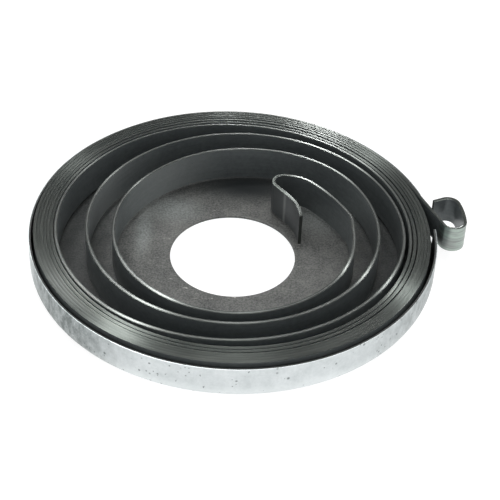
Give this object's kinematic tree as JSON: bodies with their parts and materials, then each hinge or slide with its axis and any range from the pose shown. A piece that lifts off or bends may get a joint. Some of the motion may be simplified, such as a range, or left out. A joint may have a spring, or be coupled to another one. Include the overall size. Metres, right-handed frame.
{
  "type": "recoil starter spring",
  "caption": "Flat steel strip wound as a spiral power spring in a shallow round sheet-metal case, with a hooked inner end and an outer end curled into a loop.",
  "frame": {"origin": "centre of the floor hole, on the underside of the case", "axes": "+Z along the case's axis, out of its open side; +X towards the loop at the strip's outer end"},
  "size_m": [0.0969, 0.09, 0.0093],
  "materials": {
    "zinc_sheet": "galvanised, lightly scuffed",
    "spring_steel": "dark oiled strip with bright slit edges"
  },
  "bodies": {
    "root": {"spring_case": "zinc_sheet", "power_spring": "spring_steel"}
  },
  "joints": []
}
